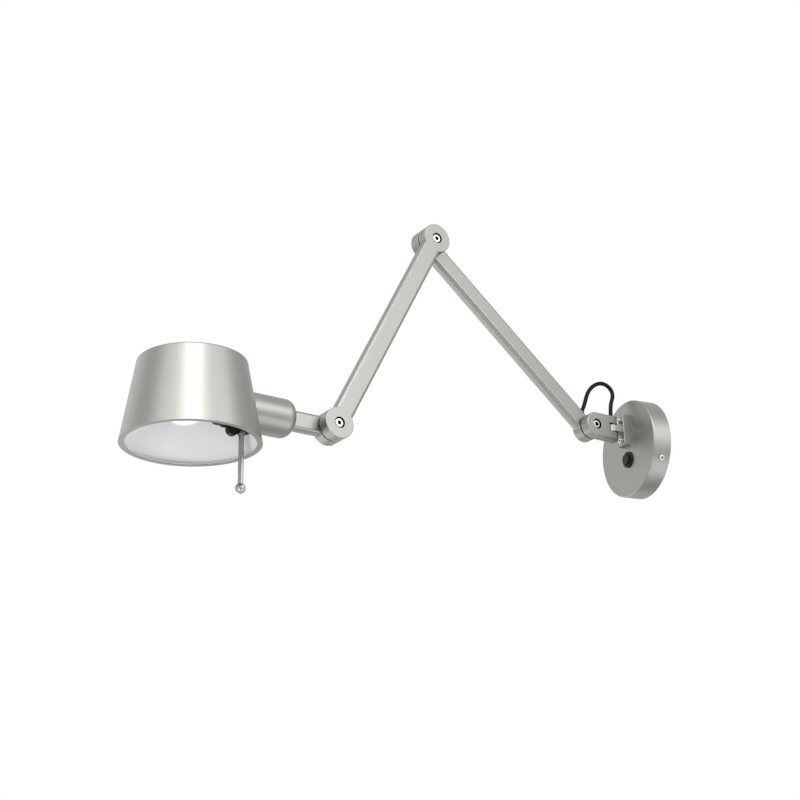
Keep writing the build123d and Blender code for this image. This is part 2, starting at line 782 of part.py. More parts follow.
# ---------------------------------------------------------------- neck
with BuildPart() as neck_cup:
    with BuildSketch(crossing(head, stem_length)):
        Circle(neck_diameter / 2)
    extrude(amount=shade_reach - stem_length)
    fillet(neck_cup.edges().group_by(neck_axis)[0], neck_round)
    with BuildPart(mode=Mode.SUBTRACT) as neck_hollow:
        with BuildSketch(crossing(head, stem_length + neck_back_wall)):
            Circle(neck_diameter / 2 - neck_wall)
        extrude(amount=shade_reach - stem_length)
        fillet(neck_hollow.edges().group_by(neck_axis)[0], neck_round - neck_wall)
    add(column(crossing(head, 0), spigot_diameter + 2 * running_fit, shade_reach), mode=Mode.SUBTRACT)
    add(shade_cone(0), mode=Mode.SUBTRACT)
save(neck_cup.part, "neck_cup")

# ---------------------------------------------------------------- lampholder
bore_start = partition_start + partition_thickness
nose_end = holder_end + holder_nose_length
with BuildPart() as lampholder:
    add(column(crossing(shade_frame, holder_start), holder_diameter, holder_end - holder_start))
    add(column(crossing(shade_frame, holder_end), holder_nose_diameter, holder_nose_length))
    chamber_diameter = holder_diameter - 2 * holder_wall
    chamber_length = partition_start - holder_start
    add(column(crossing(shade_frame, holder_start), chamber_diameter, chamber_length), mode=Mode.SUBTRACT)
    shell_bore = column(crossing(shade_frame, bore_start), shell_diameter + 2 * seat_fit, nose_end - bore_start)
    add(shell_bore, mode=Mode.SUBTRACT)
    with BuildSketch(crossing(shade_frame, partition_start)):
        with GridLocations(wire_hole_spacing, 0, 2, 1):
            Circle(wire_hole_diameter / 2)
    extrude(amount=partition_thickness, mode=Mode.SUBTRACT)
save(lampholder.part, "lampholder")

with BuildPart() as front_ring:
    add(column(crossing(shade_frame, holder_end), front_ring_diameter, front_ring_length))
    fillet(front_ring.edges().group_by(neck_axis)[-1], front_ring_edge)
    add(column(crossing(shade_frame, holder_end), front_ring_opening, front_ring_length), mode=Mode.SUBTRACT)
    nose_bore = column(crossing(shade_frame, holder_end), holder_nose_diameter + 2 * seat_fit, holder_nose_length)
    add(nose_bore, mode=Mode.SUBTRACT)
save(front_ring.part, "front_ring")

ring_bore = neck_diameter - 2 * neck_wall
with BuildPart() as shade_ring:
    add(column(crossing(shade_frame, holder_start), shade_ring_diameter, shade_ring_end - holder_start))
    add(column(crossing(shade_frame, holder_start), flange_diameter, flange_end - holder_start))
    add(column(boss_frame, boss_diameter, boss_thickness))
    add(column(downward(rod_frame, 0, 0), pad_diameter, -pad_end))
    handle_hole = column(downward(rod_frame, 0, 0), handle_diameter + 2 * seat_fit, shade_ring_diameter)
    add(handle_hole, mode=Mode.SUBTRACT)
    add(column(crossing(head, 0), ring_bore, shade_reach), mode=Mode.SUBTRACT)
    front_clearance = front_ring_diameter + 2 * screw_clearance
    add(column(crossing(shade_frame, shade_ring_end), front_clearance, shade_ring_diameter), mode=Mode.SUBTRACT)
    add(shade_cone(shade_wall), mode=Mode.INTERSECT)
save(shade_ring.part, "shade_ring")

shell_inside = shell_diameter - 2 * shell_wall
socket_shell = ring(crossing(shade_frame, bore_start), shell_diameter, shell_inside, holder_end - bore_start)
save(socket_shell, "socket_shell")
centre_contact = column(crossing(shade_frame, bore_start), contact_diameter, contact_length)
save(centre_contact, "centre_contact")

# ---------------------------------------------------------------- bulb
tip_start = bore_start + contact_length
with BuildPart() as bulb_cap:
    add(column(crossing(shade_frame, cap_start), cap_diameter, cap_end - cap_start))
    add(column(crossing(shade_frame, tip_start), cap_tip_diameter, cap_start - tip_start))
    cap_inside = cap_start + cap_floor
    cap_bore = column(crossing(shade_frame, cap_inside), bulb_stalk_diameter + 2 * seat_fit, cap_end - cap_inside)
    add(cap_bore, mode=Mode.SUBTRACT)
save(bulb_cap.part, "bulb_cap")

with BuildPart() as bulb_globe:
    with BuildSketch(shade_frame) as bulb_profile:
        with Locations((bulb_centre, 0)):
            Circle(bulb_diameter / 2)
            stalk_length = bulb_centre - bulb_stalk_start
            Rectangle(stalk_length, bulb_stalk_diameter, align=(Align.MAX, Align.CENTER))
        waist = bulb_profile.vertices().group_by(Axis.X)[1]
        fillet(waist, bulb_blend)
        offset(amount=-bulb_wall, mode=Mode.SUBTRACT)
        with Locations((bulb_centre, 0)):
            Rectangle(2 * stalk_length, bulb_diameter, align=(Align.CENTER, Align.MIN), mode=Mode.INTERSECT)
    revolve(axis=neck_axis)
save(bulb_globe.part, "bulb_globe")

# ---------------------------------------------------------------- handle
rod_top = -holder_diameter / 2 - handle_top_gap
rod_bottom = -handle_ball_drop + handle_ball_diameter / 2 - handle_ball_grip
with BuildPart() as handle_rod:
    add(column(downward(rod_frame, 0, rod_top), handle_diameter, rod_top - rod_bottom))
save(handle_rod.part, "handle_rod")

with BuildPart() as handle_collar:
    collar_top = downward(rod_frame, 0, pad_end)
    add(column(collar_top, handle_collar_diameter, handle_collar_height))
    fillet(handle_collar.edges().group_by(Axis.Z)[0], handle_collar_edge)
    add(column(collar_top, handle_diameter + 2 * seat_fit, handle_collar_height), mode=Mode.SUBTRACT)
save(handle_collar.part, "handle_collar")

with BuildPart() as handle_ball:
    ball_frame = downward(rod_frame, 0, -handle_ball_drop)
    with Locations(ball_frame):
        Sphere(handle_ball_diameter / 2)
    grip_hole = column(downward(rod_frame, 0, 0), handle_diameter + 2 * seat_fit, -rod_bottom)
    add(grip_hole, mode=Mode.SUBTRACT)
save(handle_ball.part, "handle_ball")
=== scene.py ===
"""Dresses the articulating wall lamp: its finishes, the cable, the light and the camera."""

from math import cos, pi, radians, sin

import bmesh
import bpy
from bpy.props import FloatProperty, FloatVectorProperty, IntProperty, PointerProperty
from bpy.types import Operator, Panel, PropertyGroup
from mathutils import Matrix, Vector
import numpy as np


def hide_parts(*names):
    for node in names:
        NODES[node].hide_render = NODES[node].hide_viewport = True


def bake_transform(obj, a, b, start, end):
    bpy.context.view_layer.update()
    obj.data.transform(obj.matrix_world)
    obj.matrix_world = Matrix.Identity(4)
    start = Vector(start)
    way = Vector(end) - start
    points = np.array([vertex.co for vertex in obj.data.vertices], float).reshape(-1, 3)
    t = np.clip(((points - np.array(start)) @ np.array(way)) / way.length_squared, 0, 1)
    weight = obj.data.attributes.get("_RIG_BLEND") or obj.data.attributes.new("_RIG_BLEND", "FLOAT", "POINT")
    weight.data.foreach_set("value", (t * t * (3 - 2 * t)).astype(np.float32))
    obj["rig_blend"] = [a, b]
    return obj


bl_info = {
    "name": "Articulating wall lamp",
    "version": (1, 0, 0),
    "blender": (4, 5, 0),
    "location": "3D View > Sidebar > Wall lamp",
    "description": "Dresses the wall lamp with its finishes, cable, light and camera",
    "category": "Object",
}

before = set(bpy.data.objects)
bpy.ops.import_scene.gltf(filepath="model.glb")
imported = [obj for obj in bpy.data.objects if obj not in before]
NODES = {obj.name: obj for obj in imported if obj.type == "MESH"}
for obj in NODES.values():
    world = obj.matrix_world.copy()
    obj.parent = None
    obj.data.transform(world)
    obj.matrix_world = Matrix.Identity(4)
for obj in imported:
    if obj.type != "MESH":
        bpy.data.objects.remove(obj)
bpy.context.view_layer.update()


# ---------------------------------------------------------------- frame of the arms
SWING = radians(10.5)
OUTWARDS = Vector((sin(SWING), -cos(SWING), 0))
ACROSS = Vector((-cos(SWING), -sin(SWING), 0))
HINGE = Vector((0, -0.044, 0.0227))
FAR_LAYER = 0.0151


def from_hinge(x, y, z=0.0):
    """A point given in the plane of the arms: outwards, up and towards the far arm."""
    return HINGE + OUTWARDS * x + Vector((0, 0, y)) + ACROSS * z


SHOULDER = from_hinge(0.0294, 0)
ELBOW = from_hinge(0.259, 0.19231)
WRIST = from_hinge(0.40402, -0.06974)
SHADE_CENTRE = from_hinge(0.57302, -0.06974, FAR_LAYER)
SHADE_TURN = radians(-1.4)
SHADE_UP = Vector((0, 0, cos(SHADE_TURN))) + ACROSS * sin(SHADE_TURN)

# Each joint's place and the radius of its eyes.
SHOULDER_EYE = (SHOULDER, 0.0152)
ELBOW_EYE = (ELBOW, 0.018)
WRIST_EYE = (WRIST, 0.018)


# ---------------------------------------------------------------- screws and bolts
COUNTERBORE_EDGE = 0.0066  # just outside the radius of a pivot bolt's counterbore
PIVOT_SOCKET_RADIUS = 0.003
PIVOT_HEAD_RADIUS = 0.0049
PIVOT_HEAD_TOP = 0.0058  # from the middle of the near arm's thickness
SCREW_SOCKET_RADIUS = 0.0015
RIM_SCREW_CENTRE = Vector((0, -0.012, 0))
RIM_SCREW_ANGLES = (radians(-28), radians(92), radians(212))
RIM_SCREW_TOP = 0.0624  # from the canopy's axis
BRACKET_SCREW_HEIGHTS = (0.0093, 0.0353)
BRACKET_SCREW_TOP = 0.0344  # from the wall
MARGIN = 0.0002  # the edges of the painted shade are set in steps of it

WHITE = (1.0, 1.0, 1.0, 1.0)


# ---------------------------------------------------------------- shader expressions
class Signal:
    """A value or colour that runs along a finish's node tree; arithmetic on it adds Math nodes."""

    def __init__(self, finish, socket):
        self.finish = finish
        self.socket = socket

    def maths(self, operation, *values):
        return self.finish.node("ShaderNodeMath", {"operation": operation}, dict(enumerate(values)))

    def __add__(self, other):
        return self.maths("ADD", self, other)

    def __radd__(self, other):
        return self.maths("ADD", other, self)

    def __sub__(self, other):
        return self.maths("SUBTRACT", self, other)

    def __rsub__(self, other):
        return self.maths("SUBTRACT", other, self)

    def __mul__(self, other):
        return self.maths("MULTIPLY", self, other)

    def __pow__(self, other):
        return self.maths("POWER", self, other)

    def clamped(self):
        return self.maths("MINIMUM", self.maths("MAXIMUM", self, 0.0), 1.0)


class Finish:
    """A node-based material for one finish of the lamp."""

    def __init__(self, name, **constants):
        self.material = bpy.data.materials.new(name)
        self.material.use_nodes = True
        self.tree = self.material.node_tree
        self.tree.nodes.clear()
        self.shader = self.tree.nodes.new("ShaderNodeBsdfPrincipled")
        output = self.tree.nodes.new("ShaderNodeOutputMaterial")
        self.tree.links.new(self.shader.outputs[0], output.inputs["Surface"])
        for name, value in constants.items():
            self.shader.inputs[name.replace("_", " ")].default_value = value

    def node(self, kind, settings=None, inputs=None, output=0):
        """Add a node: its settings first, then the values or links of its sockets."""
        made = self.tree.nodes.new(kind)
        for name, value in (settings or {}).items():
            setattr(made, name, value)
        for name, value in (inputs or {}).items():
            socket = made.inputs[name]
            if isinstance(value, Signal):
                self.tree.links.new(value.socket, socket)
            else:
                socket.default_value = value
        return Signal(self, made.outputs[output])

    def place(self):
        """The point on the piece at rest, in metres."""
        return self.node("ShaderNodeTexCoord", output="Object")

    def noise(self, scale, detail=3.0):
        """Soft noise from 0 to 1, at so many grains to the metre."""
        inputs = {"Scale": scale, "Detail": detail, "Roughness": 0.55, "Vector": self.place()}
        return self.node("ShaderNodeTexNoise", inputs=inputs)

    def vector(self, operation, first, second, output=0):
        """Vector arithmetic."""
        return self.node("ShaderNodeVectorMath", {"operation": operation}, {0: first, 1: second}, output)

    def about(self, origin, direction):
        """How far a point lies from an axis, and how far along it, in metres."""
        offset = self.vector("SUBTRACT", self.place(), origin)
        along = self.vector("DOT_PRODUCT", offset, direction, output=1)
        square = self.vector("DOT_PRODUCT", offset, offset, output=1)
        return (square - along * along) ** 0.5, along

    def mix(self, share, first, second):
        """A colour between two others."""
        settings = {"data_type": "RGBA"}
        return self.node("ShaderNodeMix", settings, {0: share, 6: first, 7: second}, output=2)

    def step(self, value, low, high, first=0.0, last=1.0):
        """A smooth step of a value between two limits."""
        inputs = {"Value": value, "From Min": low, "From Max": high, "To Min": first, "To Max": last}
        return self.node("ShaderNodeMapRange", {"interpolation_type": "SMOOTHSTEP"}, inputs)

    def fade(self, value, low, high):
        """A smooth step down from 1 to 0 between two limits."""
        return self.step(value, low, high, 1.0, 0.0)

    def bump(self, height, depth, strength):
        """A surface normal raised by a height."""
        return self.node("ShaderNodeBump", inputs={"Height": height, "Distance": depth, "Strength": strength})

    def feed(self, **signals):
        """Link what varies over the surface to the shader."""
        for name, signal in signals.items():
            self.tree.links.new(signal.socket, self.shader.inputs[name.replace("_", " ")])
        return self.material


def shaded(rgb, share):
    """A colour made lighter or darker."""
    return (min(rgb[0] * share, 1), min(rgb[1] * share, 1), min(rgb[2] * share, 1), 1.0)


# ---------------------------------------------------------------- finishes
def plated(finish, sizes):
    """Colour, roughness and normal of satin nickel plate: warm grey, finely blasted, faintly clouded."""
    tone = sizes.nickel_colour
    clouds = finish.noise(14.0, 2.0)
    grain = finish.noise(1500.0, 3.0)
    base = finish.mix(clouds * 0.7 + grain * 0.3, shaded(tone, 0.96), shaded(tone, 1.04))
    roughness = sizes.nickel_roughness - 0.04 + clouds * 0.05 + grain * 0.03
    return base, roughness, finish.bump(grain, 0.000002, 0.3)


def satin_nickel(sizes):
    """Satin nickel plate."""
    finish = Finish("Satin nickel", Metallic=1.0)
    base, roughness, normal = plated(finish, sizes)
    return finish.feed(Base_Color=base, Roughness=roughness, Normal=normal)


def jointed_nickel(sizes, name, near=(), far=()):
    """Satin nickel with painted shade in the bolts' counterbores and on the eye faces that meet across a
    washer.

    Each joint is given as its place and its eye's radius.
    """
    finish = Finish(name, Metallic=1.0)
    base, roughness, normal = plated(finish, sizes)
    half = sizes.arm_half_thickness
    gap = FAR_LAYER - half
    # painted shade: counterbores and eye faces across a washer are coloured nearly black where shade falls in
    # those recesses and gaps
    painted_shade = 0.0
    for joint, reach in near:
        radius, along = finish.about(joint, ACROSS)
        bore = finish.fade(radius, COUNTERBORE_EDGE, COUNTERBORE_EDGE + MARGIN / 2)
        bore = bore * finish.step(along, -half, 2 * MARGIN - half)
        face = finish.fade(radius, reach - 3 * MARGIN, reach - MARGIN)
        face = face * finish.step(along, half - 2 * MARGIN, half - MARGIN)
        painted_shade = painted_shade + bore + face
    for joint, reach in far:
        radius, along = finish.about(joint, ACROSS)
        face = finish.fade(radius, reach - 6 * MARGIN, reach - 4 * MARGIN)
        face = face * finish.fade(along, gap + MARGIN, gap + 2 * MARGIN)
        painted_shade = painted_shade + face
    # the painted shade's colour: the nickel's tone cut to 3 per cent
    base = finish.mix(painted_shade.clamped(), base, shaded(sizes.nickel_colour, 0.03))
    return finish.feed(Base_Color=base, Roughness=roughness, Normal=normal)


def turned_nickel(sizes):
    """Nickel plate over the turned rod and its ball: lighter than the blasted pieces, with a fine grain."""
    finish = Finish("Nickel of the turned rod", Metallic=1.0)
    grain = finish.noise(2400.0, 2.0)
    tone = sizes.nickel_colour
    base = finish.mix(grain, shaded(tone, 1.35), shaded(tone, 1.55))
    return finish.feed(Base_Color=base, Roughness=0.34 + grain * 0.08)


def lined_nickel(sizes):
    """The shade: satin nickel outside, matt white enamel on every face that looks inwards."""
    finish = Finish("Satin nickel with white lining")
    radius, along = finish.about(SHADE_CENTRE, SHADE_UP)
    taper = (sizes.shade_bottom_radius - sizes.shade_top_radius) / (sizes.shade_top - sizes.shade_bottom)
    side = sizes.shade_bottom_radius - (along - sizes.shade_bottom) * taper
    # How deep under the roof, above the lip and within the side the lining takes over.
    roof_depths = (0.0008, 0.00095)
    lip_depths = (0.0004, 0.0006)
    side_depths = (0.0007, 0.0009)
    under_roof = finish.step(sizes.shade_top - along, *roof_depths)
    above_lip = finish.step(along - sizes.shade_bottom, *lip_depths)
    lining = finish.step(side - radius, *side_depths) * under_roof * above_lip
    metal, metal_roughness, normal = plated(finish, sizes)
    mist = finish.noise(60.0, 2.0)
    enamel = finish.mix(mist, shaded(sizes.lining_colour, 0.98), shaded(sizes.lining_colour, 1.0))
    enamel_roughness = 0.42 + mist * 0.06
    return finish.feed(
        Base_Color=finish.mix(lining, metal, enamel),
        Metallic=1.0 - lining,
        Roughness=lining * enamel_roughness + (1.0 - lining) * metal_roughness,
        Normal=normal,
    )


def bright_heads(name, screws, socket_radius, top, flank=None):
    """Bright nickel of screw heads, with painted shade in their hexagon sockets and down a sunk head's flank.
    """
    finish = Finish(name, Metallic=1.0)
    polish = finish.noise(900.0, 3.0)
    base = finish.mix(polish, (0.5, 0.49, 0.47, 1.0), (0.6, 0.59, 0.57, 1.0))
    # painted shade: the sockets and a sunk head's flank are coloured nearly black where shade falls
    painted_shade = 0.0
    for origin, direction in screws:
        radius, along = finish.about(origin, direction)
        depth = top - along
        inside = finish.fade(radius, socket_radius, socket_radius + MARGIN / 2)
        painted_shade = painted_shade + inside * finish.step(depth, 0.00002, 0.0003)
        if flank:
            outside = finish.step(radius, flank - MARGIN, flank)
            painted_shade = painted_shade + outside * finish.step(depth, 2 * MARGIN, 4 * MARGIN)
    # the painted shade's colour, nearly black
    base = finish.mix(painted_shade.clamped(), base, (0.09, 0.088, 0.083, 1.0))
    normal = finish.bump(polish, 0.000008, 0.4)
    return finish.feed(Base_Color=base, Roughness=0.2 + polish * 0.12, Normal=normal)


def black_moulding(sizes):
    """Fine matt black plastic with a light spark grain."""
    finish = Finish("Black moulded plastic", Specular_IOR_Level=0.16)
    grain = finish.noise(2600.0, 2.0)
    tone = sizes.black_colour
    base = finish.mix(finish.noise(90.0), shaded(tone, 0.85), shaded(tone, 1.2))
    normal = finish.bump(grain, 0.00003, 0.6)
    return finish.feed(Base_Color=base, Roughness=0.38 + grain * 0.16, Normal=normal)


def black_sheath(sizes):
    """The cable's smooth black sheath with a slight waviness."""
    finish = Finish("Black cable sheath", Specular_IOR_Level=0.07)
    waves = finish.noise(180.0, 3.0)
    tone = sizes.black_colour
    base = finish.mix(waves, shaded(tone, 0.8), shaded(tone, 1.15))
    normal = finish.bump(waves, 0.00012, 0.5)
    return finish.feed(Base_Color=base, Roughness=0.4 + waves * 0.15, Normal=normal)


def bright_zinc():
    """Bright zinc of the plates, the nuts and the earth screw."""
    finish = Finish("Bright zinc", Metallic=1.0)
    spangle = finish.noise(420.0, 4.0)
    base = finish.mix(spangle, (0.60, 0.61, 0.62, 1.0), (0.74, 0.74, 0.73, 1.0))
    normal = finish.bump(spangle, 0.00003, 0.4)
    return finish.feed(Base_Color=base, Roughness=0.24 + spangle * 0.16, Normal=normal)


def plain_brass():
    """Drawn brass of the lampholder's contacts and the terminal screws."""
    finish = Finish("Plain brass", Metallic=1.0)
    tarnish = finish.noise(260.0, 4.0)
    base = finish.mix(tarnish, (0.62, 0.42, 0.16, 1.0), (0.78, 0.58, 0.27, 1.0))
    return finish.feed(Base_Color=base, Roughness=0.25 + tarnish * 0.2)


def white_moulding():
    """Glossy white plastic of the terminal block."""
    finish = Finish("White moulded plastic")
    flow = finish.noise(150.0, 3.0)
    base = finish.mix(flow, (0.78, 0.78, 0.75, 1.0), (0.86, 0.86, 0.84, 1.0))
    return finish.feed(Base_Color=base, Roughness=0.26 + flow * 0.1)


def nickel_cap():
    """Thin nickel plate of the bulb's screw cap."""
    finish = Finish("Nickel bulb cap", Metallic=1.0)
    wear = finish.noise(350.0, 4.0)
    base = finish.mix(wear, (0.62, 0.61, 0.59, 1.0), (0.78, 0.77, 0.75, 1.0))
    return finish.feed(Base_Color=base, Roughness=0.16 + wear * 0.14)


def opal_glass(sizes):
    """The bulb's opal glass: milky white with a smooth skin."""
    skin = {"Coat_Weight": 0.3, "Coat_Roughness": 0.1}
    body = {"Subsurface_Weight": 0.25, "Subsurface_Scale": 0.004}
    finish = Finish("Opal glass", **skin, **body)
    milk = finish.noise(120.0, 2.0)
    base = finish.mix(milk, shaded(sizes.opal_colour, 0.97), shaded(sizes.opal_colour, 1.0))
    return finish.feed(Base_Color=base, Roughness=0.2 + milk * 0.06)


def dress(material, *names):
    """Give these CAD nodes a finish."""
    for name in names:
        piece = NODES[name]
        if not piece.material_slots:
            piece.data.materials.append(material)
        for slot in piece.material_slots:
            slot.material = material


# ---------------------------------------------------------------- sizes and colours
class LampSizes(PropertyGroup):
    """Sizes and colours of the lamp that a user may change."""

    nickel_colour: FloatVectorProperty(
        name="Nickel",
        description="Colour of the satin nickel plate",
        subtype="COLOR",
        size=3,
        default=(0.252, 0.246, 0.234),
    )
    nickel_roughness: FloatProperty(
        name="Nickel roughness", description="How matt the satin nickel is", default=0.43, min=0.05, max=0.9
    )
    lining_colour: FloatVectorProperty(
        name="Lining",
        description="Colour of the enamel inside the shade",
        subtype="COLOR",
        size=3,
        default=(0.82, 0.83, 0.84),
    )
    black_colour: FloatVectorProperty(
        name="Black parts",
        description="Colour of the black plastic and the cable",
        subtype="COLOR",
        size=3,
        default=(0.008, 0.008, 0.0085),
    )
    opal_colour: FloatVectorProperty(
        name="Opal glass",
        description="Colour of the bulb's glass",
        subtype="COLOR",
        size=3,
        default=(0.8, 0.81, 0.81),
    )
    arm_half_thickness: FloatProperty(
        name="Half an arm",
        description="Half the thickness of the knuckle and the arms",
        default=0.0068,
        unit="LENGTH",
    )
    shade_bottom_radius: FloatProperty(
        name="Shade bottom radius",
        description="Outside radius of the shade at its mouth",
        default=0.074,
        unit="LENGTH",
    )
    shade_top_radius: FloatProperty(
        name="Shade top radius",
        description="Outside radius of the shade at its roof",
        default=0.058,
        unit="LENGTH",
    )
    shade_top: FloatProperty(
        name="Shade top",
        description="Height of the roof above the neck's axis",
        default=0.0416,
        unit="LENGTH",
    )
    shade_bottom: FloatProperty(
        name="Shade bottom",
        description="Height of the mouth from the neck's axis",
        default=-0.0481,
        unit="LENGTH",
    )
    cable_diameter: FloatProperty(
        name="Cable diameter", description="Outside diameter of the cable", default=0.005, unit="LENGTH"
    )
    cable_sides: IntProperty(
        name="Cable sides", description="Faces around the cable", default=24, min=8, max=64
    )


class StageSizes(PropertyGroup):
    """Camera and light of the studio."""

    camera_place: FloatVectorProperty(
        name="Camera",
        description="Place of the camera",
        subtype="XYZ",
        unit="LENGTH",
        size=3,
        default=(1.6578, -1.109, -0.7141),
    )
    camera_heading: FloatProperty(
        name="Heading",
        description="Turn of the camera about the vertical",
        subtype="ANGLE",
        default=radians(64.82),
    )
    camera_elevation: FloatProperty(
        name="Elevation",
        description="Tilt of the camera, negative where it looks up",
        subtype="ANGLE",
        default=radians(-21.95),
    )
    camera_roll: FloatProperty(
        name="Roll",
        description="Turn of the camera about its own view",
        subtype="ANGLE",
        default=radians(-2.32),
    )
    camera_lens: FloatProperty(
        name="Lens",
        description="Focal length over a 36 mm wide sensor, in millimetres",
        default=76.5,
        unit="CAMERA",
    )
    key_power: FloatProperty(
        name="Key light",
        description="Power of the soft key light, in watts",
        default=25.2,
        unit="POWER",
    )
    left_power: FloatProperty(
        name="Left light",
        description="Power of the broad light at the left, in watts",
        default=4.0,
        unit="POWER",
    )
    top_power: FloatProperty(
        name="Top light",
        description="Power of the light from above, in watts",
        default=4.6,
        unit="POWER",
    )
    fill_power: FloatProperty(
        name="Fill light",
        description="Power of the light at the right, in watts",
        default=13.0,
        unit="POWER",
    )
    low_power: FloatProperty(
        name="Low light",
        description="Power of the light from below, in watts",
        default=12.2,
        unit="POWER",
    )
    under_power: FloatProperty(
        name="Under light",
        description="Power of the light below the wall side, in watts",
        default=9.2,
        unit="POWER",
    )
    far_power: FloatProperty(
        name="Far light",
        description="Power of the light on the far side, in watts",
        default=11.5,
        unit="POWER",
    )
    back_power: FloatProperty(
        name="Back light",
        description="Power of the light low at the back, in watts",
        default=4.7,
        unit="POWER",
    )
    front_power: FloatProperty(
        name="Front light",
        description="Power of the light in front of the lamp, in watts",
        default=4.0,
        unit="POWER",
    )
    right_power: FloatProperty(
        name="Right light",
        description="Power of the light behind the right side, in watts",
        default=2.0,
        unit="POWER",
    )
    across_power: FloatProperty(
        name="Across light",
        description="Power of the light across from the canopy, in watts",
        default=2.9,
        unit="POWER",
    )
    air_light: FloatProperty(
        name="Surrounding light",
        description="Brightness of the studio around the lamp",
        default=0.32,
    )


# ---------------------------------------------------------------- cable
# The cable's route in the plane of the arms: outwards, up, towards the far arm.
CABLE_ROUTE = (
    (0, 0.0123, 0),
    (0, 0.0302, 0),
    (-0.0097, 0.0485, 0.0019),
    (-0.0063, 0.0603, 0.0052),
    (0.0043, 0.0646, 0.0086),
    (0.0163, 0.0581, 0.0107),
    (0.0231, 0.0487, 0.0134),
    (0.0259, 0.0368, 0.0159),
    (0.031191, 0.025894, 0.0151),
    (0.035686, 0.020527, 0.0151),
)
CABLE_HELD = (0.008, 0.01)  # lengths at its ends that keep to the knuckle and to the rear arm
BEND_WEIGHTS = "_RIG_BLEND"  # the mesh attribute that says how far each point follows the second body


def smooth_line(points, name):
    """Points close together along the smooth curve that a route draws."""
    curve = bpy.data.curves.new(name, "CURVE")
    curve.dimensions = "3D"
    curve.resolution_u = 24
    spline = curve.splines.new("NURBS")
    spline.points.add(len(points) - 1)
    for point, place in zip(spline.points, points):
        point.co = (*place, 1.0)
    spline.order_u = 3
    spline.use_endpoint_u = True
    guide = bpy.data.objects.new(name, curve)
    bpy.context.collection.objects.link(guide)
    bpy.context.view_layer.update()
    mesh = bpy.data.meshes.new_from_object(guide.evaluated_get(bpy.context.evaluated_depsgraph_get()))
    line = [vertex.co.copy() for vertex in mesh.vertices]
    bpy.data.objects.remove(guide)
    bpy.data.curves.remove(curve)
    bpy.data.meshes.remove(mesh)
    return line


def tube(name, line, radius, sides):
    """A round tube along a line, its rings carried along without twist."""
    shape = bmesh.new()
    across = (line[1] - line[0]).orthogonal().normalized()
    turns = [2 * pi * side / sides for side in range(sides)]
    rings = []
    for index, place in enumerate(line):
        ahead = line[min(index + 1, len(line) - 1)] - line[max(index - 1, 0)]
        ahead.normalize()
        across = (across - ahead * across.dot(ahead)).normalized()
        beside = ahead.cross(across)
        rings.append([shape.verts.new(place + (across * cos(a) + beside * sin(a)) * radius) for a in turns])
    for before, after in zip(rings, rings[1:]):
        for side in range(sides):
            following = (side + 1) % sides
            shape.faces.new((before[side], before[following], after[following], after[side]))
    shape.faces.new(list(reversed(rings[0])))
    shape.faces.new(rings[-1])
    return finished(name, shape)


def finished(name, shape):
    """Turn a bmesh into a smooth-shaded object."""
    bmesh.ops.recalc_face_normals(shape, faces=shape.faces)
    mesh = bpy.data.meshes.new(name)
    shape.to_mesh(mesh)
    shape.free()
    mesh.shade_smooth()
    mesh.set_sharp_from_angle(angle=radians(35))
    piece = bpy.data.objects.new(name, mesh)
    bpy.context.collection.objects.link(piece)
    return piece


def bend_by_rings(piece, line, sides, held):
    """Share a tube's bend between two bodies out along its length, so that each ring stays round.

    It stays with the first body for the first length in held, and with the second body for the last one.
    """
    run = [0.0]
    for before, after in zip(line, line[1:]):
        run.append(run[-1] + (after - before).length)
    for index, weight in enumerate(piece.data.attributes[BEND_WEIGHTS].data):
        share = (run[index // sides] - held[0]) / (run[-1] - held[1] - held[0])
        share = min(max(share, 0.0), 1.0)
        weight.value = share * share * (3 - 2 * share)


